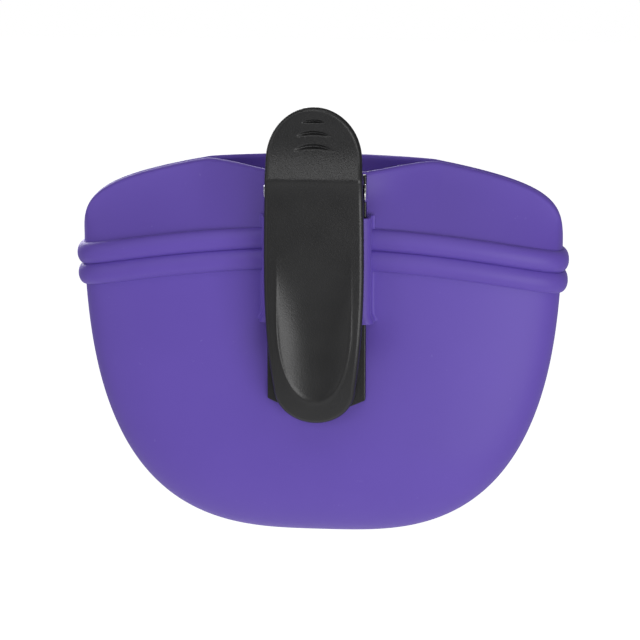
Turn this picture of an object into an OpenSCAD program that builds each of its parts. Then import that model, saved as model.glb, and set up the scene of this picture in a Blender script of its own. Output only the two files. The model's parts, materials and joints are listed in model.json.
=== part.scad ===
// Treat pouch: a moulded silicone pocket whose mouth closes by magnets, with a
// spring clip that slides into a sleeve on its back and hangs it from a belt.
//
// X runs across the pouch, +Y out of its back, where the clip is, and +Z up.
// Heights and depths below are measured from the lowest point of the pocket and
// from its middle plane. The origin is then moved into the throat of the clip.

/* [Pocket] */
// Width of the pocket between its beads
pouch_width = 131; // [120:1:140]
// Wall of the silicone moulding
wall = 2.2; // [2:0.1:2.6]
// Depth of the front panel, from the middle plane, at the belly
front_belly = 15.5; // [14:0.5:18]
// Depth of the front panel at the beads
front_waist = 11.2; // [10:0.2:12]
// Depth of the flatter back panel at the belly
back_belly = 14.5; // [13.5:0.1:14.5]
// Depth of the back panel at the beads
back_waist = 13.5; // [12.5:0.1:13.5]
// Height of the upper bead at the middle of the pouch
bead_height = 86; // [82:1:88]
// How far the beads fall from the middle to the sides
bead_arch = 7.6; // [5:0.2:9]
// Height of one bead
bead_pitch = 5.7; // [5:0.1:6]
// How far a bead stands out
bead_rise = 1.9; // [1:0.1:2]

/* [Lips] */
// Height of the closed lips at the middle
rim_height = 107.7; // [105:0.1:110]
// How much higher the rim is at the middle than its rounded corners
rim_crown = 5; // [3:0.5:7]
// Half the width of the stretch where the lips stand apart
mouth_half = 31; // [28:1:32]
// How far out the front lip bows at the middle
front_bow = 13; // [9:0.2:13]
// How far out the back lip bows at the middle
back_bow = 11.8; // [9:0.2:11.8]
// How far the front rim drops at the middle
front_dip = 3.8; // [1:0.1:5]
// How far the back rim drops at the middle
back_dip = 5.2; // [3:0.1:7]
// Space between the closed lips
lip_gap = 0.3; // [0.3:0.1:0.6]
// Radius of the hang hole in the back lip
hole_r = 2.8; // [2:0.1:3.2]
// Height of the hang hole
hole_height = 95.2; // [94:0.1:96]

/* [Magnets] */
// Diameter of each magnet
magnet_d = 8; // [6:0.5:9]
// Thickness of each magnet
magnet_t = 1; // [0.8:0.1:1.2]
// Distance of each magnet from the middle
magnet_x = 37; // [36:1:42]
// Height of the magnets
magnet_height = 98; // [96:0.5:98]

/* [Clip] */
// Width of the plate
plate_width = 26.5; // [24:0.5:27]
// Thickness of the plate
plate_t = 2; // [1.6:0.1:2]
// Lower end of the plate
plate_bottom = 39; // [38:0.5:46]
// Upper end of the plate
plate_top = 103.5; // [102.8:0.1:104]
// Width of the lever where it is widest
lever_width = 26.4; // [25:0.1:27]
// Thickness of the lever
lever_t = 2.4; // [2:0.1:2.6]
// Lower end of the lever
lever_bottom = 36.4; // [35:0.2:38]
// Upper end of the lever
lever_top = 122.5; // [120:0.5:124]
// Radius of the hinge pin
pin_r = 1.5; // [1.2:0.1:1.5]
// Height of the hinge pin
pin_height = 99.4; // [99:0.1:100]
// Lower end of the sleeve
sleeve_bottom = 63.4; // [60:0.5:66]
// Upper end of the sleeve
sleeve_top = 92.2; // [90:0.2:92.2]

/* [Hidden] */

$fn = 48;

silicone = [0.40, 0.31, 0.69];
black_plastic = [0.13, 0.13, 0.14];
steel = [0.75, 0.76, 0.78];

// Pocket
half_width = pouch_width / 2;
outline_height = 94;    // height at which the pocket reaches its full width
outline_power = 2.9;    // how square its lower corners are
belly_height = 35;      // height at which the panels start to lean in
round_height = 30;      // height over which the bottom rounds into the panels
round_power = 2.2;
section_power = 3;      // how flat the panels are across the pouch
arch_height = 72;       // height at which the rings reach the full arch of the beads
steps_round = 64;       // points round one ring of the pocket
steps_up = 12;          // rings between the bottom and the beads, outside
steps_bead = 4;         // strips on one bead
pocket_top = bead_height + bead_pitch / 2;
bead_stop = 18;         // the back beads fade out here, beside the sleeve

// Lips
lip_reach = 0.995 * half_width;    // the lips' side edges stand here
lip_edge = wall + lip_gap / 2;     // outer face of a lip where the lips meet
lip_lap = 1.2;                     // how far the back lip runs down into the pocket's wall
lip_clear = 0.7;                   // space over the beads under the front lip
corner_power = 3.5;                // how square the corners of the rim are
bow_power = 1.2;                   // how sharply a lip's bow meets its straight sides
rise_power = 1.3;                  // how soon a lip leaves the line of its panel
steps_across = 48;
steps_lip = 8;

// Clip, from the back panel outwards
fit_gap = 0.3;
plate_y = back_belly + fit_gap;
sleeve_wall = 1.4;
sleeve_y = plate_y + plate_t + fit_gap + sleeve_wall;
belt_space = 4.5;
lever_y = sleeve_y + belt_space + lever_t;    // outer face of the lever's straight stretch
pin_y = 20;
throat_y = sleeve_y + belt_space / 2;
throat_z = 91;

ear_x = 7.6;              // inner face of the plate's ears
ear_t = 2;
ear_r = 2.7;
cheek_t = 2;              // the lever's cheeks stand outside the ears
cheek_r = 2.9;
cheek_inset = 0.45;       // how far the cheeks stand in from the lever's edges
cheek_x = lever_width / 2 - cheek_t - cheek_inset;

// Side profile of the lever's outer face
bow_z = 64;               // the jaw bows in towards the plate below here
jaw_drop = 4;
crease_start = 97;        // the hump over the hinge begins here
crease_z = 103.5;
crease_rise = 1.1;
tab_lean = 1.2;
tab_hollow = 1.3;

function smooth(u) = let (t = min(1, max(0, u))) t * t * (3 - 2 * t);
function mix(a, b, u) = a + (b - a) * u;
function arc_of(u, power) = pow(max(0, 1 - pow(min(1, abs(u)), power)), 1 / power);
function signed_pow(u, power) = sign(u) * pow(abs(u), power);

// The pocket's half width and its panels' depth at a height, taken in by an inset.
function width_at(z, inset) =
    (half_width - inset) * arc_of(max(0, 1 - (z - inset) / outline_height), outline_power);
function depth_at(z, belly, waist, inset) =
    (mix(belly, waist, smooth((z - belly_height) / (bead_height - belly_height))) - inset)
    * arc_of(max(0, 1 - (z - inset) / round_height), round_power);

// The rings follow the arch of the beads more and more towards the top.
function arch_at(z) = bead_arch * pow(min(1, z / arch_height), 2);

function ring(z, inset, rise) =
    let (w = width_at(z - arch_at(z), inset))
    [for (i = [0 : steps_round - 1])
        let (
            a = 360 * i / steps_round,
            belly = a < 180 ? back_belly : front_belly,
            waist = a < 180 ? back_waist : front_waist,
            u = signed_pow(cos(a), 2 / section_power),
            bead = (a < 180 && abs(u) * w < bead_stop) ? 0 : rise,
            v = signed_pow(sin(a), 2 / section_power)
        )
        [u * (w + bead), v * (depth_at(z, belly, waist, inset) + bead), z - arch_at(z) * u * u]
    ];

// A closed skin over a list of rings, with a point at each end.
function skin_points(first, rings, last) = [first, each [for (r = rings) each r], last];
function skin_faces(rows, n) =
    let (end = rows * n + 1)
    [
        for (i = [0 : n - 1]) [0, 1 + i, 1 + (i + 1) % n],
        for (j = [0 : rows - 2], i = [0 : n - 1], half = [0, 1])
            let (
                a = 1 + j * n + i,
                b = 1 + j * n + (i + 1) % n
            )
            half == 0 ? [a, a + n, b + n] : [a, b + n, b],
        for (i = [0 : n - 1])
            [end, 1 + (rows - 1) * n + (i + 1) % n, 1 + (rows - 1) * n + i]
    ];

// Lips: x runs across, s from the beads (0) to the rim (1).
function bow_at(x) = abs(x) < mouth_half ? pow(cos(90 * x / mouth_half), bow_power) : 0;
function base_at(x) = pocket_top - bead_arch * pow(x / half_width, 2);
function rim_at(x, dip) =
    let (side = pocket_top - bead_arch)
    side + (rim_height - rim_crown - side + rim_crown * pow(cos(90 * x / half_width), 2))
    * arc_of(x / half_width, corner_power) - dip * bow_at(x);
function lip_z(x, s, dip, lift) = mix(base_at(x) + lift, rim_at(x, dip), s);
function lip_y(x, s, waist, bow) =
    max(lip_edge, mix(waist * arc_of(x / half_width, section_power),
        lip_edge + bow * bow_at(x), 1 - pow(1 - s, rise_power)));

// One lip as a closed sheet: its outer face, then its inner face, joined round the edge.
module lip(waist, bow, dip, lift) {
    columns = [for (i = [0 : steps_across]) lip_reach * sin(90 * (2 * i / steps_across - 1))];
    rows = [for (j = [0 : steps_lip]) j / steps_lip];
    loops = [for (x = columns) [
        for (s = rows) [x, lip_y(x, s, waist, bow), lip_z(x, s, dip, lift)],
        for (k = [0 : steps_lip])
            let (s = rows[steps_lip - k])
            [x, max(lip_gap / 2, lip_y(x, s, waist, bow) - wall), lip_z(x, s, dip, lift)]
    ]];
    n = 2 * (steps_lip + 1);
    last = steps_across * n;
    polyhedron(
        points = [for (l = loops) each l],
        faces = [
            for (i = [0 : steps_across - 1], k = [0 : n - 1], half = [0, 1])
                let (
                    a = i * n + k,
                    b = i * n + (k + 1) % n
                )
                half == 0 ? [a, a + n, b + n] : [a, b + n, b],
            for (k = [0 : steps_lip - 1], half = [0, 1])
                half == 0 ? [k, k + 1, n - 2 - k] : [k, n - 2 - k, n - 1 - k],
            for (k = [0 : steps_lip - 1], half = [0, 1])
                half == 0 ? [last + k, last + n - 2 - k, last + k + 1]
                    : [last + k, last + n - 1 - k, last + n - 2 - k]
        ]
    );
}

// A magnet's disc lies along the middle of a lip's wall, leaning as the lip does.
function magnet_s(dip, lift) =
    (magnet_height - lip_z(magnet_x, 0, dip, lift))
    / (rim_at(magnet_x, dip) - lip_z(magnet_x, 0, dip, lift));
function magnet_y(waist, s) = lip_y(magnet_x, s, waist, 0) - wall / 2;
function magnet_lean(waist, dip, lift, s) =
    let (step = 0.05)
    atan((magnet_y(waist, s - step) - magnet_y(waist, s + step))
        / (lip_z(magnet_x, s + step, dip, lift) - lip_z(magnet_x, s - step, dip, lift)));

module magnet(side, waist, dip, lift) {
    s = magnet_s(dip, lift);
    translate([side * magnet_x, magnet_y(waist, s), magnet_height])
        rotate([magnet_lean(waist, dip, lift, s) - 90, 0, 0])
            cylinder(d = magnet_d, h = magnet_t, center = true);
}

module from_throat() {
    translate([0, -throat_y, -throat_z]) children();
}

module pocket_shell() {
    // outside, with its two beads, then over the top edge and down the inside
    steps_in = 10;
    low_top = pocket_top - 2 * bead_pitch;
    low_rings = [for (i = [1 : steps_up]) low_top * (1 - cos(90 * i / steps_up))];
    high_rings = [for (i = [1 : steps_in]) mix(wall, pocket_top, 1 - cos(90 * i / steps_in))];
    outside = [
        for (z = low_rings) ring(z, 0, 0),
        for (bead = [1, 0], k = [1 : steps_bead])
            let (a = 180 * k / steps_bead)
            ring(bead_height - (bead + cos(a) / 2) * bead_pitch, 0, sin(a) * bead_rise)
    ];
    inside = [for (i = [len(high_rings) - 1 : -1 : 0]) ring(high_rings[i], wall, 0)];
    rings = concat(outside, inside);
    color(silicone)
        from_throat()
            polyhedron(
                points = skin_points([0, 0, 0], rings, [0, 0, wall]),
                faces = skin_faces(len(rings), steps_round)
            );
}

module back_lip() {
    color(silicone)
        from_throat()
            difference() {
                lip(back_waist, back_bow, back_dip, -lip_lap);
                for (side = [-1, 1]) magnet(side, back_waist, back_dip, -lip_lap);
                translate([0, 0, hole_height])
                    rotate([-90, 0, 0])
                        cylinder(r = hole_r, h = plate_y);
            }
}

module front_lip() {
    color(silicone)
        from_throat()
            mirror([0, 1, 0])
                difference() {
                    lip(front_waist, front_bow, front_dip, lip_clear);
                    for (side = [-1, 1]) magnet(side, front_waist, front_dip, lip_clear);
                }
}

module back_magnet(side) {
    color(steel)
        from_throat()
            magnet(side, back_waist, back_dip, -lip_lap);
}

module front_magnet(side) {
    color(steel)
        from_throat()
            mirror([0, 1, 0])
                magnet(side, front_waist, front_dip, lip_clear);
}

// The sleeve is a bridge over the back panel, which closes its slot.
module clip_sleeve() {
    slot_half = plate_width / 2 + fit_gap;
    outer_half = 14.5;
    root_depth = 1.4;
    root_y = back_waist - root_depth;
    height = sleeve_top - sleeve_bottom;
    color(silicone)
        from_throat()
            translate([0, 0, sleeve_bottom])
                difference() {
                    translate([-outer_half, root_y, 0])
                        cube([2 * outer_half, sleeve_y - root_y, height]);
                    translate([-slot_half, root_y - 1, -1])
                        cube([2 * slot_half, sleeve_y - sleeve_wall - root_y + 1, height + 2]);
                }
}

// A shape drawn with x as depth and y as height, standing across the clip from x0 to x1.
module across(x0, x1) {
    translate([x0, 0, 0])
        rotate([90, 0, 90])
            linear_extrude(height = x1 - x0) children();
}

module clip_plate() {
    chamfer_x = 6.6;
    chamfer_z = 3;
    half = plate_width / 2;
    ear_bottom = sleeve_top + fit_gap;
    color(black_plastic)
        from_throat() {
            difference() {
                union() {
                    translate([0, plate_y + plate_t, 0])
                        rotate([90, 0, 0])
                            linear_extrude(height = plate_t)
                                polygon([
                                    [-half, plate_top], [-half, plate_bottom + chamfer_z],
                                    [-half + chamfer_x, plate_bottom], [half - chamfer_x, plate_bottom],
                                    [half, plate_bottom + chamfer_z], [half, plate_top]
                                ]);
                    for (x = [-ear_x - ear_t, ear_x])
                        across(x, x + ear_t) {
                            polygon([
                                [plate_y + plate_t / 2, ear_bottom], [pin_y, pin_height - ear_r],
                                [pin_y, pin_height + ear_r], [plate_y + plate_t / 2, plate_top]
                            ]);
                            translate([pin_y, pin_height]) circle(r = ear_r);
                        }
                }
                across(-plate_width, plate_width)
                    translate([pin_y, pin_height]) circle(r = pin_r);
            }
        }
}

// Outer face of the lever at a height: a bowed jaw, a hump at the hinge, a hollow tab.
function face_y(z) =
    z < bow_z ? lever_y - jaw_drop * pow((bow_z - z) / (bow_z - lever_bottom), 2)
    : z < crease_z ? lever_y + crease_rise * smooth((z - crease_start) / (crease_z - crease_start))
    : let (u = (z - crease_z) / (lever_top - crease_z))
        lever_y + crease_rise - tab_lean * u - tab_hollow * sin(180 * u);

// A band that follows the lever's outer face, from depth `inner` to depth `outer` off it.
module face_band(z0, z1, inner, outer) {
    steps = 32;
    heights = [for (i = [0 : steps]) mix(z0, z1, i / steps)];
    across(-lever_width, lever_width)
        polygon([
            for (z = heights) [face_y(z) + outer, z],
            for (i = [steps : -1 : 0]) [face_y(heights[i]) + inner, heights[i]]
        ]);
}

// A flat outline drawn as x and height, standing through the lever.
module through_lever() {
    translate([0, 2 * lever_y, 0])
        rotate([90, 0, 0])
            linear_extrude(height = 2 * lever_y) children();
}

module clip_lever() {
    half = lever_width / 2;
    widest_top = 88;    // the lever narrows from here up to its tab
    tab_half = 12.7;
    tab_arc = 14.2;
    tip_half = 10.8;
    tip_arc = 10.4;
    taper_z = 67.5;
    dish_half = 9.7;
    dish_top = 81;
    dish_arc_z = 66.8;
    dish_bottom = 43.1;
    dish_depth = 1.2;
    pin_play = 0.05;
    web_y = lever_y - lever_t / 2;
    web_half = 6.5;
    color(black_plastic)
        from_throat()
            difference() {
                union() {
                    intersection() {
                        face_band(lever_bottom - 1, lever_top + 1, -lever_t, 0);
                        through_lever()
                            polygon([
                                for (a = [0 : 10 : 180])
                                    [tab_half * cos(a), lever_top - tab_arc + tab_arc * sin(a)],
                                [-half, widest_top], [-half, taper_z],
                                for (a = [180 : 10 : 360])
                                    [tip_half * cos(a), lever_bottom + tip_arc + tip_arc * sin(a)],
                                [half, taper_z], [half, widest_top]
                            ]);
                    }
                    for (x = [-cheek_x - cheek_t, cheek_x])
                        across(x, x + cheek_t) {
                            polygon([
                                [pin_y, pin_height - cheek_r], [web_y, pin_height - web_half],
                                [web_y, pin_height + web_half], [pin_y, pin_height + cheek_r]
                            ]);
                            translate([pin_y, pin_height]) circle(r = cheek_r);
                        }
                }
                across(-lever_width, lever_width)
                    translate([pin_y, pin_height]) circle(r = pin_r + pin_play);
                intersection() {
                    face_band(dish_bottom - 1, dish_top, -dish_depth, 2);
                    through_lever()
                        polygon([
                            for (a = [180 : 10 : 360])
                                [dish_half * cos(a), dish_arc_z + (dish_arc_z - dish_bottom) * sin(a)],
                            [dish_half, dish_top + 1], [-dish_half, dish_top + 1]
                        ]);
                }
            }
}

// The pin runs through the cheeks and the ears, domed at one end and riveted at the other.
module hinge_pin() {
    side_play = 0.3;
    end_x = cheek_x + cheek_t + side_play;
    dome_r = 2.45;
    dome_rise = 0.9;
    rivet_r = 2.1;
    rivet_rise = 0.7;
    color(steel)
        from_throat()
            translate([0, pin_y, pin_height])
                rotate([0, 90, 0]) {
                    translate([0, 0, -end_x]) cylinder(r = pin_r, h = 2 * end_x);
                    translate([0, 0, -end_x]) rivet_head(dome_r, dome_rise);
                    translate([0, 0, end_x]) mirror([0, 0, 1]) rivet_head(rivet_r, rivet_rise);
                }
}

module rivet_head(r, rise) {
    ball_r = (r * r + rise * rise) / (2 * rise);
    intersection() {
        translate([0, 0, ball_r - rise]) sphere(r = ball_r);
        translate([0, 0, -rise]) cylinder(r = r, h = rise);
    }
}

// A round wire swept along a path that stays near one plane across x.
function unit(v) = v / norm(v);
function wire_ring(path, i, r, sides) =
    let (
        last = len(path) - 1,
        along = unit(path[min(last, i + 1)] - path[max(0, i - 1)]),
        side = unit(cross(along, [1, 0, 0])),
        up = cross(side, along)
    )
    [for (k = [0 : sides - 1]) path[i] + r * (cos(360 * k / sides) * side + sin(360 * k / sides) * up)];

module wire(path, r, sides) {
    polyhedron(
        points = skin_points(path[0], [for (i = [0 : len(path) - 1]) wire_ring(path, i, r, sides)],
            path[len(path) - 1]),
        faces = skin_faces(len(path), sides)
    );
}

module torsion_spring() {
    wire_r = 0.45;
    coil_r = 2.4;
    pitch = 1.05;
    turns = 6;
    steps = 14;
    leg_z = 4.6;
    lever_leg_z = 9;
    coil = [for (i = [0 : turns * steps])
        let (a = 180 + 360 * i / steps)
        [pitch * (i / steps - turns / 2), coil_r * cos(a), coil_r * sin(a)]];
    end_y = face_y(pin_height + lever_leg_z) - lever_t - pin_y - 2 * wire_r;
    path = [
        [-pitch * turns / 2, plate_y + plate_t + 2 * wire_r - pin_y, leg_z],
        each coil,
        [pitch * turns / 2, end_y, lever_leg_z]
    ];
    color(steel)
        from_throat()
            translate([0, pin_y, pin_height]) wire(path, wire_r, 8);
}

pocket_shell();
back_lip();
clip_sleeve();
front_lip();
back_magnet(-1);  // back_magnet_left
back_magnet(1);  // back_magnet_right
front_magnet(-1);  // front_magnet_left
front_magnet(1);  // front_magnet_right
clip_plate();
clip_lever();
hinge_pin();
torsion_spring();
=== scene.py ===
import json
import math

import bmesh
import bpy
import numpy as np
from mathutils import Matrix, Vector


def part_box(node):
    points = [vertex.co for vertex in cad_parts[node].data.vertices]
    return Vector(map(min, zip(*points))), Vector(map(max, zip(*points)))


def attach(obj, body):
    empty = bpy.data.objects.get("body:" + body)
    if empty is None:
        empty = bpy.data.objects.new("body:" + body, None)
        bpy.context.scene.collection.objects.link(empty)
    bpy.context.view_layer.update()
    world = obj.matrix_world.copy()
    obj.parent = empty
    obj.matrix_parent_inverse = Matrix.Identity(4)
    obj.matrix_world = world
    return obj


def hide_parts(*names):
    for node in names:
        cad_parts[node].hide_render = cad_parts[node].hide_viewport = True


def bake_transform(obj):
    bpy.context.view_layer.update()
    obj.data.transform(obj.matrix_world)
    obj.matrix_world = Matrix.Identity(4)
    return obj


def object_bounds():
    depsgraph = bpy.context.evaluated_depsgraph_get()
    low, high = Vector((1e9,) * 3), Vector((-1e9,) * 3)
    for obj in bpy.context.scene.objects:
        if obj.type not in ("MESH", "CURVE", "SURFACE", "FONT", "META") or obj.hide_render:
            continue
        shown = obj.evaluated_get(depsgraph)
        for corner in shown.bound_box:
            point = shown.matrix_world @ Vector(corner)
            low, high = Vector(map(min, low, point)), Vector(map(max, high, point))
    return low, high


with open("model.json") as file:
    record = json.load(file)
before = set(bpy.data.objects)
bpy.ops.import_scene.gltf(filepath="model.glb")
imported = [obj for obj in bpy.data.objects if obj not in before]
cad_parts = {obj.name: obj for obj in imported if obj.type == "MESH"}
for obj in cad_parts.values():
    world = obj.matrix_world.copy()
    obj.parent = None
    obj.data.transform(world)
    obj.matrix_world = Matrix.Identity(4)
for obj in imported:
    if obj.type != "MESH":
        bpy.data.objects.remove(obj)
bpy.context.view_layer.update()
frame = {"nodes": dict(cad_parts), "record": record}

# Shapes are worked out in millimetres: x across the pouch, y out of its back from its middle
# plane, z up from the lowest point of the pocket.
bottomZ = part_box("pocket_shell")[0].z
middleY = (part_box("front_lip")[1].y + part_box("back_lip")[0].y) / 2
print("frame loaded")


def toFrame(points):
    return np.asarray(points, float) * 0.001 + (0, middleY, bottomZ)


def nodeSpan(node):  # lowest and highest corner of a CAD node, in the shape's millimetres
    corners = np.array([list(corner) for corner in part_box(node)])
    return (corners - (0, middleY, bottomZ)) * 1000


def smooth(u):
    t = np.clip(u, 0, 1)
    return t * t * (3 - 2 * t)


def mix(a, b, u):
    return a + (b - a) * u


def arcOf(u, power):
    return np.maximum(0, 1 - np.minimum(1, np.abs(u)) ** power) ** (1 / power)


def gridFaces(rows, columns, first=0, loop=False):
    across = columns if loop else columns - 1
    faces = []
    for row in range(rows - 1):
        start = first + row * columns
        for column in range(across):
            near = start + column
            far = start + (column + 1) % columns
            faces.append((near, far, far + columns, near + columns))
    return faces


def makePiece(name, points, faces, material):
    mesh = bpy.data.meshes.new(name)
    mesh.from_pydata(toFrame(points).tolist(), [], faces)
    work = bmesh.new()
    work.from_mesh(mesh)
    bmesh.ops.remove_doubles(work, verts=work.verts, dist=2e-7)
    bmesh.ops.recalc_face_normals(work, faces=work.faces)
    for face in work.faces:
        face.smooth = True
    work.to_mesh(mesh)
    work.free()
    mesh.materials.append(material)
    piece = bpy.data.objects.new(name, mesh)
    bpy.context.scene.collection.objects.link(piece)
    return piece


def softenEdges(piece, width, segments=3):
    bevel = piece.modifiers.new("softEdges", "BEVEL")
    bevel.width = width * 0.001
    bevel.segments = segments
    bevel.limit_method = "ANGLE"
    bevel.angle_limit = math.radians(35)
    bevel.harden_normals = True
    return piece


class Level:  # a number that changes over a surface, so that sums on it read as sums
    def __init__(self, finish, socket):
        self.finish = finish
        self.socket = socket

    def maths(self, operation, first, second):
        node = self.finish.add("ShaderNodeMath", {"operation": operation}, {0: first, 1: second})
        return Level(self.finish, node.outputs[0])

    def __add__(self, other):
        return self.maths("ADD", self, other)

    def __radd__(self, other):
        return self.maths("ADD", other, self)

    def __sub__(self, other):
        return self.maths("SUBTRACT", self, other)

    def __mul__(self, other):
        return self.maths("MULTIPLY", self, other)

    def __rmul__(self, other):
        return self.maths("MULTIPLY", other, self)


class Finish:
    def __init__(self, name, metallic=0.0, **constants):
        self.material = bpy.data.materials.new(name)
        self.material.use_nodes = True
        self.tree = self.material.node_tree
        self.tree.nodes.clear()
        self.shader = self.add("ShaderNodeBsdfPrincipled", {}, {"Metallic": metallic, **constants})
        self.add("ShaderNodeOutputMaterial", {}, {"Surface": self.shader.outputs[0]})
        self.place = self.add("ShaderNodeTexCoord").outputs["Object"]

    def add(self, kind, settings=None, sockets=None):
        node = self.tree.nodes.new(kind)
        for name, value in (settings or {}).items():
            if name == "stops":
                for stop, (position, colour) in zip(node.color_ramp.elements, value):
                    stop.position = position
                    stop.color = colour
            else:
                setattr(node, name, value)
        for name, value in (sockets or {}).items():
            value = value.socket if isinstance(value, Level) else value
            if isinstance(value, bpy.types.NodeSocket):
                self.tree.links.new(value, node.inputs[name])
            else:
                node.inputs[name].default_value = value
        return node

    def noise(self, scale, detail=2.0, roughness=0.5):
        sockets = {"Vector": self.place, "Scale": scale, "Detail": detail, "Roughness": roughness}
        return Level(self, self.add("ShaderNodeTexNoise", {}, sockets).outputs["Fac"])

    def ramp(self, level, low, high):  # 0 below low, 1 above high
        stops = [(low, (0, 0, 0, 1)), (high, (1, 1, 1, 1))]
        node = self.add("ShaderNodeValToRGB", {"stops": stops}, {"Fac": level})
        return Level(self, node.outputs["Color"])

    def blendColour(self, level, colourA, colourB):
        node = self.add("ShaderNodeMix", {"data_type": "RGBA"}, {0: level, 6: colourA, 7: colourB})
        return node.outputs[2]

    def wear(self, **sockets):  # links to the shader's own sockets
        for name, value in sockets.items():
            value = value.socket if isinstance(value, Level) else value
            self.tree.links.new(value, self.shader.inputs[name.replace("_", " ")])

    def bump(self, height, strength, distance):
        sockets = {"Height": height, "Strength": strength, "Distance": distance}
        self.wear(Normal=self.add("ShaderNodeBump", {}, sockets).outputs["Normal"])


def siliconeFinish():
    look = {
        "deep": (0.118, 0.068, 0.412, 1),
        "clear": (0.138, 0.080, 0.462, 1),
        "dust": (0.30, 0.24, 0.60, 1),
        "roughness": 0.5,
        "sheen": (0.55, 0.45, 1.0, 1),
        "clouds": (38, 3),   # scale and detail of its patterns
        "specks": (900, 1),
        "patches": (90, 2),
        "grain": (1700, 3),
        "ripples": (120, 1),
    }
    finish = Finish("violetSilicone", **{
        "Specular IOR Level": 0.35,
        "Sheen Weight": 0.22,
        "Sheen Roughness": 0.45,
        "Sheen Tint": look["sheen"],
    })
    clouds = finish.noise(*look["clouds"])
    specks = finish.ramp(finish.noise(*look["specks"]), 0.73, 0.80)
    patches = finish.ramp(finish.noise(*look["patches"]), 0.45, 0.75)
    body = finish.blendColour(clouds, look["deep"], look["clear"])
    finish.wear(
        Base_Color=finish.blendColour(specks * patches * 0.3, body, look["dust"]),
        Roughness=look["roughness"] + 0.12 * (clouds - 0.5) + specks * 0.1,
    )
    relief = finish.noise(*look["grain"]) + 4 * finish.noise(*look["ripples"])
    finish.bump(relief, 0.22, 0.00005)
    return finish.material


def plasticFinish():
    look = {
        "dark": (0.0075, 0.0075, 0.0082, 1),
        "light": (0.013, 0.013, 0.0135, 1),
        "roughness": 0.30,
        "grain": (2400, 2, 0.6),
        "rubbed": (130, 3),
    }
    finish = Finish("grainedBlackPlastic", **{"Specular IOR Level": 0.5})
    grain = finish.noise(*look["grain"])
    rubbed = finish.noise(*look["rubbed"])
    finish.wear(
        Base_Color=finish.blendColour(rubbed, look["dark"], look["light"]),
        Roughness=look["roughness"] + 0.10 * grain + 0.08 * (rubbed - 0.5),
    )
    finish.bump(grain, 0.6, 0.00008)
    return finish.material


def metalFinish(name, colour, roughness):
    look = {"stain": (260, 4), "scratches": (2600, 2), "stained": 0.82}
    finish = Finish(name, metallic=1.0)
    stain = finish.noise(*look["stain"])
    scratches = finish.noise(*look["scratches"])
    darker = [look["stained"] * part for part in colour]
    finish.wear(
        Base_Color=finish.blendColour(stain, (*darker, 1), (*colour, 1)),
        Roughness=roughness + 0.14 * (scratches - 0.5),
    )
    finish.bump(scratches, 0.1, 0.00003)
    return finish.material


silicone = siliconeFinish()
plastic = plasticFinish()
pinSteel = metalFinish("polishedPin", (0.80, 0.80, 0.81), 0.22)
wireSteel = metalFinish("springWire", (0.52, 0.52, 0.54), 0.30)
nickel = metalFinish("nickelPlate", (0.66, 0.65, 0.62), 0.25)
print("finishes made")


pocketSizes = {
    "beadHeight": 86.0,      # middle of the upper bead, at the middle of the pouch
    "beadPitch": 5.7,
    "beadRise": 1.9,
    "beadArch": 7.6,         # how far the beads fall from the middle to the sides
    "archHeight": 72.0,
    "wall": 2.2,
    "outlineHeight": 94.0,
    "outlinePower": 2.9,
    "frontBelly": 15.5,
    "frontWaist": 11.2,
    "backBelly": 14.5,
    "backWaist": 13.5,
    "bellyHeight": 35.0,
    "roundHeight": 30.0,
    "roundPower": 2.2,
    "sectionPower": 3.0,
    "edgeDrop": 0.7,         # the pocket's edge stops this far under the top of the upper bead
    "edgeRise": 0.3,         # and is rounded over by this much
    "edgeShares": [0.2, 0.8],
    "stepsAround": 384,
    "rowsOutside": 96,
    "rowsInside": 60,
}
halfWidth = nodeSpan("pocket_shell")[1][0] - pocketSizes["beadRise"]
pocketTop = pocketSizes["beadHeight"] + pocketSizes["beadPitch"] / 2


def archAt(z):
    return pocketSizes["beadArch"] * np.minimum(1, z / pocketSizes["archHeight"]) ** 2


def panelDepth(z, back, inset):  # from the middle plane to a panel's face at a height
    s = pocketSizes
    belly = np.where(back, s["backBelly"], s["frontBelly"])
    waist = np.where(back, s["backWaist"], s["frontWaist"])
    lean = smooth((z - s["bellyHeight"]) / (s["beadHeight"] - s["bellyHeight"]))
    rounding = arcOf(np.maximum(0, 1 - (z - inset) / s["roundHeight"]), s["roundPower"])
    return (mix(belly, waist, lean) - inset) * rounding


def ringAt(z, inset, angles):
    s = pocketSizes
    height = z - archAt(z)
    fullness = arcOf(max(0, 1 - (height - inset) / s["outlineHeight"]), s["outlinePower"])
    width = (halfWidth - inset) * fullness
    u = np.cos(angles)
    back = np.sin(angles) > 0
    v = arcOf(u, s["sectionPower"]) * np.sign(np.sin(angles))
    v[np.abs(np.sin(angles)) < 1e-9] = 0
    return np.column_stack([u * width, v * panelDepth(z, back, inset), z - archAt(z) * u * u])


slotRelief = {               # the back is scooped at both ends of the sleeve, where the clip enters
    "heights": [58.5, 96.5],
    "depths": [1.5, 1.3],
    "half": 17.0,            # half its width
    "reach": 5.0,
}


def reliefAt(x, z):
    s = slotRelief
    across = np.exp(-((x / s["half"]) ** 4))
    scoops = zip(s["heights"], s["depths"])
    return across * sum(depth * np.exp(-(((z - height) / s["reach"]) ** 2)) for height, depth in scoops)


def acrossFaces(first, count, turned):  # closes a ring by joining its front to its back
    faces = []
    for i in range(count // 2):
        face = (first + i, first + i + 1, first + (count - i - 1) % count, first + (count - i) % count)
        faces.append(face[::-1] if turned else face)
    return faces


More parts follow.
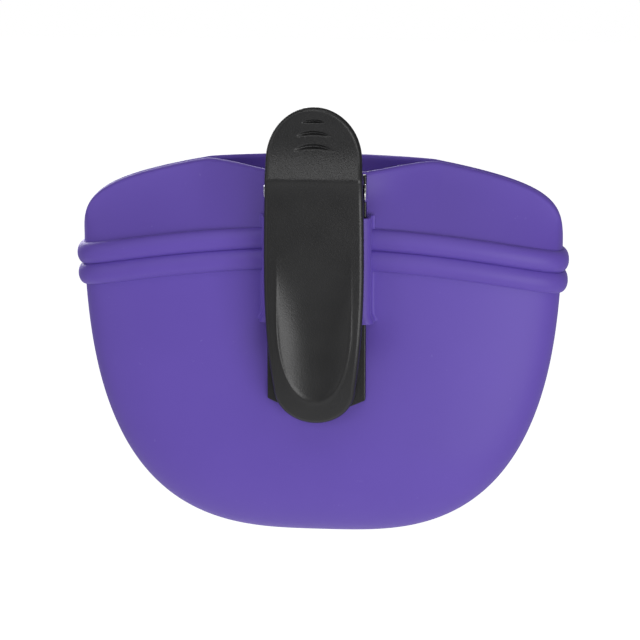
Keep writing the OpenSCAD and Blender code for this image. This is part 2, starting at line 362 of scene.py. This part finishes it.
def makePocket():
    s = pocketSizes
    edge = pocketTop - s["edgeDrop"]
    count = s["stepsAround"]
    angles = np.arange(count) * 2 * math.pi / count
    outside = edge * (1 - np.cos(np.linspace(0, math.pi / 2, s["rowsOutside"] + 1)[1:]))
    inside = mix(s["wall"], edge, 1 - np.cos(np.linspace(0, math.pi / 2, s["rowsInside"] + 1)[1:]))
    rings = [ringAt(z, 0, angles) for z in outside]
    for ring in rings:
        ring[:, 1] -= reliefAt(ring[:, 0], ring[:, 2]) * (ring[:, 1] > 0)
    rings += [ringAt(edge, s["wall"] * share, angles) + (0, 0, s["edgeRise"]) for share in s["edgeShares"]]
    rings += [ringAt(z, s["wall"], angles) for z in inside[::-1]]
    faces = gridFaces(len(rings), count, loop=True)
    faces += acrossFaces(0, count, True)
    faces += acrossFaces((len(rings) - 1) * count, count, False)
    return makePiece("pocketSkin", np.vstack(rings), faces, silicone)


pocket = makePocket()
print("pocket made")


def sweepTree(name, upright):  # sweeps an oval section along a path, for the beads and the spring
    tree = bpy.data.node_groups.new(name, "GeometryNodeTree")
    inputs = {"Path": "Geometry", "Rise": "Float", "Half Height": "Float", "Sides": "Int"}
    inputs["Finish"] = "Material"
    for label, kind in inputs.items():
        tree.interface.new_socket(label, in_out="INPUT", socket_type="NodeSocket" + kind)
    tree.interface.new_socket("Swept", in_out="OUTPUT", socket_type="NodeSocketGeometry")

    def add(kind, **sockets):
        node = tree.nodes.new(kind)
        for label, value in sockets.items():
            target = node.inputs[label.replace("_", " ")]
            if isinstance(value, bpy.types.NodeSocket):
                tree.links.new(value, target)
            else:
                target.default_value = value
        return node

    given = tree.nodes.new("NodeGroupInput").outputs
    path = add("GeometryNodeMeshToCurve", Mesh=given["Path"])
    turned = add("GeometryNodeSetCurveNormal", Curve=path.outputs[0])
    turned.mode = "Z_UP" if upright else "MINIMUM_TWIST"
    circle = add("GeometryNodeCurvePrimitiveCircle", Resolution=given["Sides"], Radius=1.0)
    size = add("ShaderNodeCombineXYZ", X=given["Rise"], Y=given["Half Height"], Z=1.0)
    section = add("GeometryNodeTransform", Geometry=circle.outputs[0], Scale=size.outputs[0])
    swept = add("GeometryNodeCurveToMesh", Curve=turned.outputs[0], Profile_Curve=section.outputs[0])
    swept.inputs["Fill Caps"].default_value = True
    smoothed = add("GeometryNodeSetShadeSmooth", Geometry=swept.outputs[0])
    real = add("GeometryNodeRealizeInstances", Geometry=smoothed.outputs[0])
    finished = add("GeometryNodeSetMaterial", Geometry=real.outputs[0], Material=given["Finish"])
    result = tree.nodes.new("NodeGroupOutput")
    tree.links.new(finished.outputs[0], result.inputs[0])
    return tree


def sweepPaths(name, paths, sizes, material, upright):
    points = []
    edges = []
    for path in paths:
        first = len(points)
        edges += [(first + i, first + i + 1) for i in range(len(path) - 1)]
        points += toFrame(path).tolist()
    mesh = bpy.data.meshes.new(name)
    mesh.from_pydata(points, edges, [])
    piece = bpy.data.objects.new(name, mesh)
    bpy.context.scene.collection.objects.link(piece)
    tree = sweepTree(name + "Tree", upright)
    modifier = piece.modifiers.new("sweep", "NODES")
    modifier.node_group = tree
    given = {**sizes, "Finish": material}
    for item in tree.interface.items_tree:
        if item.in_out == "INPUT" and item.name in given:
            modifier[item.identifier] = given[item.name]
    graph = bpy.context.evaluated_depsgraph_get()
    swept = bpy.data.meshes.new_from_object(piece.evaluated_get(graph))
    piece.modifiers.clear()
    piece.data = swept
    return piece


beadSizes = {
    "beads": 2,
    "endX": 14.4,            # the beads run into the sleeve and end here
    "overlap": 0.1,          # so that the valley between two beads isn't cut to the panel
    "steps": 420,
    "sides": 28,
}


def makeBeads():
    s = beadSizes
    endAngle = math.acos(s["endX"] / halfWidth)
    angles = np.linspace(math.pi - endAngle, 2 * math.pi + endAngle, s["steps"])
    heights = [pocketSizes["beadHeight"] - i * pocketSizes["beadPitch"] for i in range(s["beads"])]
    sizes = {
        "Rise": pocketSizes["beadRise"] * 0.001,
        "Half Height": (pocketSizes["beadPitch"] / 2 + s["overlap"]) * 0.001,
        "Sides": s["sides"],
    }
    return sweepPaths("beads", [ringAt(z, 0, angles) for z in heights], sizes, silicone, True)


beads = makeBeads()
print("beads made")


lipSizes = {
    "edge": 2.27,            # outer face of a lip where the two lips meet
    "mouthHalf": 31.0,       # the rim dips between the corners of the mouth
    "dipPower": 1.2,
    "bowHalf": 33.0,         # and the lips stand apart from a little farther out
    "bowPower": 1.6,
    "risePower": 1.3,
    "crown": 5.0,
    "cornerPower": 3.5,
    "rimHeight": 107.7,
    "tongue": 4.4,           # how far a lip runs down inside the pocket's wall
    "tongueInset": 0.3,
    "tongueWidth": 0.995,    # share of the pouch's width
    "tongueClose": 0.7,
    "sideTaper": 1.8,
    "rimRound": 0.45,        # most of a lip's height that its rounded rim may take
    "columns": 256,
    "tongueRows": 6,
    "rimRows": 7,
}
frontLip = {
    "back": False,
    "waist": 11.2,           # depth of its panel at the beads
    "bow": 13.0,             # how far it stands out at the middle of the mouth
    "dip": 3.8,              # how far its rim falls there
    "lift": 0.7,             # height over the beads at which it starts to lean in
    "rows": [1.0],
    "counts": [30],
}
backLip = {
    "back": True,
    "waist": 13.5,
    "bow": 11.8,
    "dip": 5.2,
    "lift": -1.2,
    "counts": [10, 8, 8],
}


def mouthAt(x, half, power):  # 1 at the middle of the mouth, 0 from its corners on
    inside = np.minimum(1, np.abs(x) / half)
    return np.maximum(0, np.cos(inside * math.pi / 2)) ** power


def baseAt(x):
    return pocketTop - pocketSizes["beadArch"] * (x / halfWidth) ** 2


def rimAt(x, dip):
    s = lipSizes
    side = pocketTop - pocketSizes["beadArch"]
    crown = s["crown"] * np.cos(x / halfWidth * math.pi / 2) ** 2
    full = s["rimHeight"] - s["crown"] - side + crown
    rim = side + full * arcOf(x / halfWidth, s["cornerPower"])
    return rim - dip * mouthAt(x, s["mouthHalf"], s["dipPower"])


def lipFace(x, z, lip):  # distance of a lip's outer face from the middle plane
    s = lipSizes
    base = baseAt(x) + lip["lift"]
    height = np.maximum(1e-6, rimAt(x, lip["dip"]) - base)
    share = np.clip((z - base) / height, 0, 1)
    panel = lip["waist"] * arcOf(x / halfWidth, pocketSizes["sectionPower"])
    top = s["edge"] + lip["bow"] * mouthAt(x, s["bowHalf"], s["bowPower"])
    relief = reliefAt(x, z) * lip["back"]
    return np.maximum(s["edge"], mix(panel, top, 1 - (1 - share) ** s["risePower"]) - relief)


def roundHole(x, z, hole):  # draws the grid's squares round the hole into circles
    dz = z - hole["height"]
    square = np.maximum(np.abs(x), np.abs(dz))
    circle = np.maximum(1e-9, np.hypot(x, dz))
    keep = smooth((square - hole["block"]) / hole["fade"])
    return mix(x * square / circle, x, keep), hole["height"] + mix(dz * square / circle, dz, keep)


def makeLip(name, lip, hole=None):
    s = lipSizes
    half = pocketSizes["wall"] / 2
    x = halfWidth * np.sin(np.linspace(-math.pi / 2, math.pi / 2, s["columns"] + 1))
    base = baseAt(x)
    rim = rimAt(x, lip["dip"])
    taper = arcOf(np.maximum(0, (np.abs(x) - halfWidth) / s["sideTaper"] + 1), 2)
    radius = np.minimum(half * taper, s["rimRound"] * (rim - base))
    closed = half * (1 - taper)    # at its sides a lip thins towards its inner face
    rows = []                # each row: x, z, middle y, half thickness
    for share in np.linspace(0, 1, s["tongueRows"], endpoint=False):
        z = base - s["tongue"] * (1 - share)
        panel = panelDepth(z, lip["back"], 0) * arcOf(x / halfWidth, pocketSizes["sectionPower"])
        middle = np.maximum(half, panel - half)
        thick = (half - s["tongueInset"]) * taper
        rows.append((x * s["tongueWidth"], z, middle - s["tongueClose"] * closed, thick))
    marks = [0.0, *lip["rows"]]
    shares = [np.linspace(low, high, count, endpoint=False)
              for low, high, count in zip(marks, marks[1:], lip["counts"])]
    for share in [*np.concatenate(shares), 1.0]:
        rows.append((x, mix(base, rim - radius, share), None, half * taper))
    for turn in np.linspace(0, math.pi / 2, s["rimRows"])[1:]:
        rows.append((x, rim - radius + radius * math.sin(turn), None, half * taper * math.cos(turn)))
    outer = []
    inner = []
    for rowX, rowZ, middle, thick in rows:
        if hole and middle is None:
            rowX, rowZ = roundHole(rowX, rowZ, hole)
        if middle is None:
            middle = lipFace(rowX, rowZ, lip) - half - closed
        outer.append(np.column_stack([rowX, middle + thick, rowZ]))
        inner.append(np.column_stack([rowX, middle - thick, rowZ]))
    columns = s["columns"] + 1
    points = np.vstack(outer + inner[::-1])
    count = 2 * len(rows)
    faces = gridFaces(count, columns)
    last = (count - 1) * columns
    faces += [(c, c + 1, last + c + 1, last + c) for c in range(columns - 1)]
    if hole:
        points, faces = openHole(points, faces, hole, columns, len(rows))
    side = 1 if lip["back"] else -1
    return makePiece(name, points * (1, side, 1), faces, silicone)


def openHole(points, faces, hole, columns, rows):  # cuts the block of squares out of both faces
    middle = columns // 2
    cells = hole["cells"] // 2
    low = hole["row"]
    high = low + hole["cells"]
    left = middle - cells
    right = middle + cells
    bottom = [(low, c) for c in range(left, right)]
    up = [(r, right) for r in range(low, high)]
    top = [(high, c) for c in range(right, left, -1)]
    down = [(r, left) for r in range(high, low, -1)]
    rim = bottom + up + top + down
    front = [r * columns + c for r, c in rim]
    back = [(2 * rows - 1 - r) * columns + c for r, c in rim]
    gone = set()
    for r in range(low, high):
        for c in range(left, right):
            gone.add((r * columns + c, (r + 1) * columns + c + 1))
            mirrored = 2 * rows - 2 - r
            gone.add((mirrored * columns + c, (mirrored + 1) * columns + c + 1))
    kept = [face for face in faces if (face[0], face[2]) not in gone]
    offsets = points[front] - (0, 0, hole["height"])
    angles = np.arctan2(offsets[:, 2], offsets[:, 0])
    rings = []
    for loop, sign, turns in ((front, -1, [30, 60, 90]), (back, 1, [90, 60, 30])):
        for turn in np.radians(turns):
            radius = hole["radius"] + hole["fillet"] * (1 - math.sin(turn))
            y = points[loop][:, 1] + sign * hole["fillet"] * (1 - math.cos(turn))
            x = radius * np.cos(angles)
            rings.append(np.column_stack([x, y, hole["height"] + radius * np.sin(angles)]))
    first = len(points)
    number = len(rim)
    kept += gridFaces(len(rings), number, first, loop=True)
    final = first + (len(rings) - 1) * number
    for i in range(number):
        j = (i + 1) % number
        kept.append((front[i], front[j], first + j, first + i))
        kept.append((final + i, final + j, back[j], back[i]))
    return np.vstack([points, *rings]), kept


holeMount = next(m for m in frame["record"]["mounts"] if m["name"] == "hang_hole")
hangHole = {
    "radius": holeMount["dims"]["r_mm"],
    "height": (holeMount["pos_m"][2] - bottomZ) * 1000,
    "cells": 8,
    "fade": 3.0,
}
hangHole["block"] = halfWidth * math.sin(math.pi * hangHole["cells"] / 2 / lipSizes["columns"])
hangHole["fillet"] = hangHole["block"] - hangHole["radius"]
lipSpan = rimAt(0, backLip["dip"]) - pocketSizes["wall"] / 2 - pocketTop
backLip["rows"] = [
    (hangHole["height"] - hangHole["block"] - pocketTop) / lipSpan,
    (hangHole["height"] + hangHole["block"] - pocketTop) / lipSpan,
    1.0,
]
hangHole["row"] = lipSizes["tongueRows"] + backLip["counts"][0]

backCollar = makeLip("backLipSkin", backLip, hangHole)
frontCollar = makeLip("frontLipSkin", frontLip)
print("lips made")


sleeveSizes = {
    "wall": 1.4,
    "corner": 2.2,           # rounding of the sleeve's outer corners
    "foot": 0.9,             # rounding where the sleeve grows out of the panel
    "footDepth": 0.8,        # how deep its feet stand in the panel
    "panelShare": 0.995,     # the feet follow the panel from just inside it
    "slotHalf": 13.55,
    "slotRound": 0.5,
    "flare": 0.9,            # the lower end opens out by this much
    "flareHeight": 2.6,
    "softEdge": 0.4,
    "rows": 40,
    "turns": 8,
}


def sleeveSection(z, low, outerHalf, top):
    s = sleeveSizes
    flare = s["flare"] * (1 - smooth((z - low) / s["flareHeight"]))
    half = outerHalf + flare
    panel = float(panelDepth(z, True, 0)) * s["panelShare"]
    turns = np.linspace(0, math.pi / 2, s["turns"])
    side = [(half + s["foot"], panel - s["footDepth"])]
    side += [
        (half + s["foot"] * (1 - math.sin(t)), panel + s["foot"] * (1 - math.cos(t)))
        for t in turns
    ]
    side += [
        (half - s["corner"] * (1 - math.cos(t)), top - s["corner"] * (1 - math.sin(t)))
        for t in turns
    ]
    slotTop = top - s["wall"]
    slot = [
        (s["slotHalf"] - s["slotRound"] * (1 - math.sin(t)), slotTop - s["slotRound"] * (1 - math.cos(t)))
        for t in turns[::2]
    ]
    slot += [(s["slotHalf"], panel - s["footDepth"])]
    right = side + [(0.0, top)]
    inner = [(0.0, slotTop)] + slot
    left = [(-x, y) for x, y in reversed(side)]
    innerLeft = [(-x, y) for x, y in reversed(slot)]
    loop = right + left + innerLeft + inner
    return np.array([(x, y, z) for x, y in loop])


def makeSleeve():
    low, high = nodeSpan("clip_sleeve")
    s = sleeveSizes
    heights = low[2] + (high[2] - low[2]) * np.linspace(0, 1, s["rows"])
    rings = [sleeveSection(z, low[2], high[0], high[1]) for z in heights]
    count = len(rings[0])
    faces = gridFaces(len(rings), count, loop=True)
    faces += [tuple(range(count)), tuple(range((len(rings) - 1) * count, len(rings) * count))]
    piece = makePiece("sleeve", np.vstack(rings), faces, silicone)
    return softenEdges(piece, s["softEdge"])


sleeve = makeSleeve()
print("sleeve made")


leverSizes = {
    "thick": 2.4,
    "tabHalf": 12.6,
    "tabArc": 14.2,          # height of the thumb tab's rounded end
    "tipHalf": 10.9,
    "tipArc": 10.4,
    "widestZ": 80.0,         # the lever narrows a little above and below here
    "taperPower": 2.2,
    "bowZ": 64.0,            # the jaw bows in towards the plate below here
    "jawDrop": 4.0,
    "humpStart": 97.0,
    "creaseZ": 103.5,
    "creaseRise": 1.1,
    "tabLean": 1.2,
    "tabHollow": 1.3,
    "creaseBlur": [-0.5, -0.25, 0.0, 0.25, 0.5],
    "rowStep": 0.3,
    "tipSteps": 41,
    "tabSteps": 91,
    "columns": 120,
}
dishSizes = {
    "half": 9.8,
    "arcZ": 66.8,
    "bottom": 43.1,
    "depth": 2.0,
    "outlinePower": 2.2,     # how blunt its rounded end is
    "wallPower": 2.6,        # how steep its walls are
    "fadeFrom": 86.0,
    "fadeOver": 26.0,
    "ridge": 0.12,           # a fine raised edge runs round it
    "ridgeWidth": 0.035,
}
thumbGrooves = {
    "heights": [118.9, 115.8, 112.3],
    "halfLengths": [2.9, 4.3, 4.9],
    "halfWidths": [0.45, 0.55, 0.65],
    "depth": 0.9,
    "curve": 0.045,
}
leverLow, leverHigh = nodeSpan("clip_lever")
leverFaceY = leverHigh[1] - leverSizes["creaseRise"]
tipZ = leverLow[2] + leverSizes["tipArc"]
tabZ = leverHigh[2] - leverSizes["tabArc"]


def leverProfile(z):
    s = leverSizes
    jaw = s["jawDrop"] * (np.maximum(0, s["bowZ"] - z) / (s["bowZ"] - leverLow[2])) ** 2
    hump = s["creaseRise"] * np.clip((z - s["humpStart"]) / (s["creaseZ"] - s["humpStart"]), 0, 1) ** 2
    u = np.clip((z - s["creaseZ"]) / (leverHigh[2] - s["creaseZ"]), 0, 1)
    return leverFaceY - jaw + hump - s["tabLean"] * u - s["tabHollow"] * np.sin(math.pi * u)


def leverFace(z):  # the profile with its crease rubbed a little round
    shifts = leverSizes["creaseBlur"]
    return sum(leverProfile(z + shift) for shift in shifts) / len(shifts)


def leverHeights():
    s = leverSizes
    turn = np.linspace(0, math.pi / 2, s["tipSteps"])
    tip = tipZ - s["tipArc"] * np.cos(turn)
    body = np.linspace(tipZ, s["creaseZ"], round((s["creaseZ"] - tipZ) / s["rowStep"]) + 1)
    neck = np.linspace(s["creaseZ"], tabZ, round((tabZ - s["creaseZ"]) / s["rowStep"]) + 1)
    tab = tabZ + s["tabArc"] * np.sin(np.linspace(0, math.pi / 2, s["tabSteps"]))
    return np.concatenate([tip, body[1:], neck[1:], tab[1:]])


def leverHalf(z):  # half width of the outline at a height
    s = leverSizes
    above = np.clip((z - s["widestZ"]) / (tabZ - s["widestZ"]), 0, 1)
    below = np.clip((s["widestZ"] - z) / (s["widestZ"] - tipZ), 0, 1)
    half = leverHigh[0] - (leverHigh[0] - s["tabHalf"]) * above ** 2
    half = half - (leverHigh[0] - s["tipHalf"]) * below ** s["taperPower"]
    tip = arcOf(np.maximum(0, tipZ - z) / s["tipArc"], 2)
    tab = arcOf(np.maximum(0, z - tabZ) / s["tabArc"], 2)
    return half * tip * tab


def edgeDistance(x, z):
    s = leverSizes
    gap = leverHalf(z) - np.abs(x)
    for half, arc, rise in ((s["tabHalf"], s["tabArc"], z - tabZ), (s["tipHalf"], s["tipArc"], tipZ - z)):
        reach = np.maximum(1e-6, np.hypot(x / half, rise / arc))
        size = mix(half, arc, (rise / arc / reach) ** 2)
        gap = np.where(rise > 0, (1 - reach) * size, gap)
    return np.maximum(0, gap)


def dishDepth(x, z):
    s = dishSizes
    below = np.maximum(0, s["arcZ"] - z) / (s["arcZ"] - s["bottom"])
    power = s["outlinePower"]
    reach = (np.abs(x / s["half"]) ** power + below ** power) ** (1 / power)
    hollow = s["depth"] * np.maximum(0, 1 - reach ** s["wallPower"])
    ridge = s["ridge"] * np.exp(-(((reach - 1) / s["ridgeWidth"]) ** 2))
    return (hollow - ridge) * smooth((s["fadeFrom"] - z) / s["fadeOver"])


def grooveDepth(x, z):
    s = thumbGrooves
    depth = np.zeros_like(x)
    for height, length, width in zip(s["heights"], s["halfLengths"], s["halfWidths"]):
        pointed = arcOf(x / length, 2)
        across = (z - height + s["curve"] * x * x) / (width * pointed + 1e-6)
        depth = np.maximum(depth, s["depth"] * pointed * np.maximum(0, 1 - across ** 2))
    return depth


def makeLever():
    s = leverSizes
    turns = np.linspace(-math.pi / 2, math.pi / 2, s["columns"] + 1)
    z, turn = np.meshgrid(leverHeights(), turns, indexing="ij")
    x = leverHalf(z) * np.sin(turn)
    half = s["thick"] / 2
    edge = half - np.sqrt(np.maximum(0, half ** 2 - np.maximum(0, half - edgeDistance(x, z)) ** 2))
    front = leverFace(z) - edge - dishDepth(x, z) - grooveDepth(x, z)
    back = leverFace(z) - s["thick"] + edge
    rows, columns = z.shape
    sheets = [np.dstack([x, y, z]).reshape(-1, 3) for y in (front, back)]
    faces = gridFaces(rows, columns) + [face[::-1] for face in gridFaces(rows, columns, rows * columns)]
    return makePiece("clipLever", np.vstack(sheets), faces, plastic)


lever = makeLever()

pinLow, pinHigh = nodeSpan("hinge_pin")
pinY, pinZ = (pinLow[1] + pinHigh[1]) / 2, (pinLow[2] + pinHigh[2]) / 2
cheekSizes = {
    "thick": 2.0,
    "inset": 0.45,
    "radius": 2.9,
    "webHalf": 6.5,          # half the height at which a cheek meets the lever
    "bore": 1.55,
    "rounding": 0.35,
    "steps": 96,
}


def cheekRadius(angle):  # distance from the pin to a cheek's edge, in a direction
    s = cheekSizes
    webY = leverFaceY - leverSizes["thick"] / 2 - pinY
    along, up = math.cos(angle), abs(math.sin(angle))
    if along <= 0:
        return s["radius"]
    slant = (s["webHalf"] - s["radius"]) / webY
    toWeb = webY / along
    toSlant = s["radius"] / max(1e-9, up - slant * along)
    return max(s["radius"], min(toWeb, toSlant if up > slant * along else toWeb))


def aroundPin(x, radius, angles):  # a ring of points round the hinge's axis
    return np.column_stack([0 * angles + x, pinY + radius * np.cos(angles), pinZ + radius * np.sin(angles)])


def makeCheek(name, side):
    s = cheekSizes
    outerX = leverHigh[0] - s["inset"]
    innerX = outerX - s["thick"]
    angles = np.arange(s["steps"]) * 2 * math.pi / s["steps"]
    reach = np.array([cheekRadius(a) for a in angles])
    r = s["rounding"]
    corner = [(0, r), (0.3 * r, 0.3 * r), (r, 0)]
    loops = [(innerX + inset, reach - shrink) for inset, shrink in corner]
    loops += [(outerX - inset, reach - shrink) for inset, shrink in corner[::-1]]
    loops += [(outerX, s["bore"] + r / 2), (outerX - r / 2, s["bore"])]
    loops += [(innerX + r / 2, s["bore"]), (innerX, s["bore"] + r / 2)]
    points = [aroundPin(side * x, radii, angles) for x, radii in loops]
    count = len(angles)
    faces = gridFaces(len(loops), count, loop=True)
    last = (len(loops) - 1) * count
    faces += [(last + i, last + (i + 1) % count, (i + 1) % count, i) for i in range(count)]
    return makePiece(name, np.vstack(points), faces, plastic)


cheeks = [makeCheek("leverCheekLeft", -1), makeCheek("leverCheekRight", 1)]
print("lever made")


plateSizes = {
    "thick": 2.0,
    "chamferX": 6.6,
    "chamferZ": 3.0,
    "earX": 7.6,             # inner face of the ears that hold the pin
    "earThick": 2.0,
    "earRadius": 2.7,
    "earFoot": 92.5,
    "earSteps": 24,
    "softEdge": 0.35,
}


def slab(outline, low, high, axis):  # an outline given a thickness along an axis
    flat = np.array(outline)
    ends = [np.insert(flat, axis, place, axis=1) for place in (low, high)]
    count = len(outline)
    faces = gridFaces(2, count, loop=True)
    faces += [tuple(range(count)), tuple(range(count, 2 * count))]
    return np.vstack(ends), faces


def makePlate():
    s = plateSizes
    low, high = nodeSpan("clip_plate")
    half = high[0]
    corners = [
        (-half, high[2]), (-half, low[2] + s["chamferZ"]), (-half + s["chamferX"], low[2]),
        (half - s["chamferX"], low[2]), (half, low[2] + s["chamferZ"]), (half, high[2]),
    ]
    shapes = [slab(corners, low[1], low[1] + s["thick"], 1)]
    turns = np.linspace(-math.pi / 2, math.pi / 2, s["earSteps"])
    ear = [(low[1] + s["thick"] / 2, high[2]), (low[1] + s["thick"] / 2, s["earFoot"])]
    ear += [(pinY + s["earRadius"] * math.cos(t), pinZ + s["earRadius"] * math.sin(t)) for t in turns]
    for x in (-s["earX"] - s["earThick"], s["earX"]):
        shapes.append(slab(ear, x, x + s["earThick"], 0))
    points = []
    faces = []
    for shapePoints, shapeFaces in shapes:
        faces += [tuple(len(points) + i for i in face) for face in shapeFaces]
        points += shapePoints.tolist()
    return softenEdges(makePiece("clipPlate", points, faces, plastic), s["softEdge"])


plate = makePlate()

pinSizes = {
    "radius": 1.5,
    "domeRadius": 2.45,
    "domeRise": 0.9,
    "rivetRadius": 2.1,
    "rivetRise": 0.7,
    "rimShare": 0.12,        # share of a head's rise that its straight rim takes
    "undercut": 0.1,
    "headSteps": 9,
    "steps": 48,
}


def pinHead(endX, radius, rise, way):  # profile points of a rounded head, from its rim to its top
    s = pinSizes
    return [
        (endX + way * rise * mix(s["rimShare"], 1, math.sin(t)), radius * math.cos(t))
        for t in np.linspace(0, math.pi / 2, s["headSteps"])
    ]


def makePin():
    s = pinSizes
    low = pinLow[0] + s["domeRise"]
    high = pinHigh[0] - s["rivetRise"]
    left = pinHead(low, s["domeRadius"], s["domeRise"], -1)
    right = pinHead(high, s["rivetRadius"], s["rivetRise"], 1)
    profile = left[::-1] + [(low, s["domeRadius"] - s["undercut"]), (low, s["radius"])]
    profile += [(high, s["radius"]), (high, s["rivetRadius"] - s["undercut"])] + right
    angles = np.arange(s["steps"]) * 2 * math.pi / s["steps"]
    rings = [aroundPin(x, radius, angles) for x, radius in profile]
    faces = gridFaces(len(rings), len(angles), loop=True)
    return makePiece("hingePin", np.vstack(rings), faces, pinSteel)


pin = makePin()

springSizes = {
    "wire": 0.45,
    "coil": 2.4,
    "turns": 6,
    "pitch": 1.05,
    "plateLeg": 4.6,         # heights over the pin at which its legs press
    "leverLeg": 9.0,
    "plateGap": 0.3,         # the plate's face lies this far under the roof of its slot
    "plateLegSteps": 12,
    "leverLegSteps": 18,
    "steps": 28,
    "sides": 12,
}


def makeSpring():
    s = springSizes
    plateFace = nodeSpan("clip_sleeve")[1][1] - sleeveSizes["wall"] - s["plateGap"]
    turns = np.arange(s["turns"] * s["steps"] + 1) / s["steps"]
    angle = math.pi + 2 * math.pi * turns
    x = s["pitch"] * (turns - s["turns"] / 2)
    coil = np.column_stack([x, pinY + s["coil"] * np.cos(angle), pinZ + s["coil"] * np.sin(angle)])
    plateEnd = np.array([x[0], plateFace + 2 * s["wire"], pinZ + s["plateLeg"]])
    leverBack = float(leverFace(pinZ + s["leverLeg"])) - leverSizes["thick"]
    leverEnd = np.array([x[-1], leverBack - s["wire"], pinZ + s["leverLeg"]])
    path = np.vstack([
        np.linspace(plateEnd, coil[0], s["plateLegSteps"], endpoint=False),
        coil,
        np.linspace(coil[-1], leverEnd, s["leverLegSteps"])[1:],
    ])
    sizes = {"Rise": s["wire"] * 0.001, "Half Height": s["wire"] * 0.001, "Sides": s["sides"]}
    return sweepPaths("springWire", [path], sizes, wireSteel, False)


spring = makeSpring()
print("clip made")


for piece in (pocket, beads, backCollar, sleeve):
    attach(piece, "pouch")
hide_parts("pocket_shell")
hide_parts("back_lip")
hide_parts("clip_sleeve")

bendFrom = baseAt(0) - lipSizes["tongue"]
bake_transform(frontCollar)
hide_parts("front_lip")

for piece in (plate, pin):
    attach(piece, "clip")
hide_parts("clip_plate")
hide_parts("hinge_pin")

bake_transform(spring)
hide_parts("torsion_spring")

for piece in (lever, *cheeks):
    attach(piece, "clip_lever")
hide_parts("clip_lever")

for name, node in frame["nodes"].items():
    if "magnet" in name:
        node.data.materials.clear()
        node.data.materials.append(nickel)
print("pieces joined to their bodies")


studio = {
    "airLight": 0.19,
    "floorDrop": 0.60,       # metres under the pouch
    "floorSize": 12.0,
    "distance": 0.62,
    "lens": 128,
    "azimuth": 185,
    "elevation": 14,
    "floorTones": ((0.93, 0.93, 0.94, 1), (0.95, 0.95, 0.95, 1)),
    "floorGlow": ((0.13, 0.13, 0.13, 1), (0.9, 0.9, 0.9, 1)),    # to the pouch, and to the camera
}
softboxes = {                # place from the middle of the pouch and size, in metres, and watts
    "keySoftbox": ((-0.50, 0.75, -0.12), (0.60, 0.5), 3.9),
    "fillSoftbox": ((0.75, 0.60, 0.20), (0.7, 0.8), 1.5),
    "tabSoftbox": ((0.08, 0.85, 0.38), (0.5, 0.2), 1.1),
    "overheadSoftbox": ((-0.10, 0.50, 0.80), (1.0, 0.4), 1.4),
    "frontSoftbox": ((0.4, -0.8, 0.35), (0.8, 0.6), 8),
}


def makeFloor():
    finish = Finish("paleFloor", Roughness=0.9)
    tone = finish.blendColour(finish.noise(3, 2), *studio["floorTones"])
    seen = Level(finish, finish.add("ShaderNodeLightPath").outputs["Is Camera Ray"])
    glow = finish.blendColour(seen, *studio["floorGlow"])
    finish.wear(Base_Color=tone, Emission_Color=glow)
    finish.shader.inputs["Emission Strength"].default_value = 1.0
    size = studio["floorSize"] / 2
    z = bottomZ - studio["floorDrop"]
    mesh = bpy.data.meshes.new("floor")
    corners = [(-size, -size, z), (size, -size, z), (size, size, z), (-size, size, z)]
    mesh.from_pydata(corners, [], [(0, 1, 2, 3)])
    mesh.materials.append(finish.material)
    floor = bpy.data.objects.new("floor", mesh)
    bpy.context.scene.collection.objects.link(floor)


def aim(item, target):
    item.rotation_euler = (target - item.location).to_track_quat("-Z", "Y").to_euler()


def makeLight(name, place, target, size, power):
    light = bpy.data.lights.new(name, "AREA")
    light.shape = "RECTANGLE"
    light.size, light.size_y = size
    light.energy = power
    item = bpy.data.objects.new(name, light)
    item.location = place
    bpy.context.scene.collection.objects.link(item)
    aim(item, target)


def makeAir():  # the backdrop shows white, and the air lights the pouch more dimly
    world = bpy.data.worlds.new("studioAir")
    world.use_nodes = True
    tree = world.node_tree
    air = tree.nodes["Background"]
    air.inputs["Color"].default_value = (1, 1, 1, 1)
    seen = tree.nodes.new("ShaderNodeLightPath").outputs["Is Camera Ray"]
    level = tree.nodes.new("ShaderNodeMapRange")
    level.inputs["To Min"].default_value = studio["airLight"]
    level.inputs["To Max"].default_value = 1.0
    tree.links.new(seen, level.inputs["Value"])
    tree.links.new(level.outputs["Result"], air.inputs["Strength"])
    bpy.context.scene.world = world


low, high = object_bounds()
centre = (low + high) / 2
makeFloor()
for name, (place, size, power) in softboxes.items():
    makeLight(name, centre + Vector(place), centre, size, power)
makeAir()
bpy.context.scene.view_settings.view_transform = "Standard"

camera = bpy.data.objects.new("camera", bpy.data.cameras.new("camera"))
bpy.context.scene.collection.objects.link(camera)
azimuth, elevation = math.radians(studio["azimuth"]), math.radians(studio["elevation"])
away = Vector((
    math.sin(azimuth) * math.cos(elevation),
    -math.cos(azimuth) * math.cos(elevation),
    math.sin(elevation),
))
camera.location = centre + away * studio["distance"]
camera.data.lens = studio["lens"]
camera.data.clip_start = 0.01
camera.data.clip_end = 50
aim(camera, centre)
bpy.context.scene.camera = camera
print("studio made")
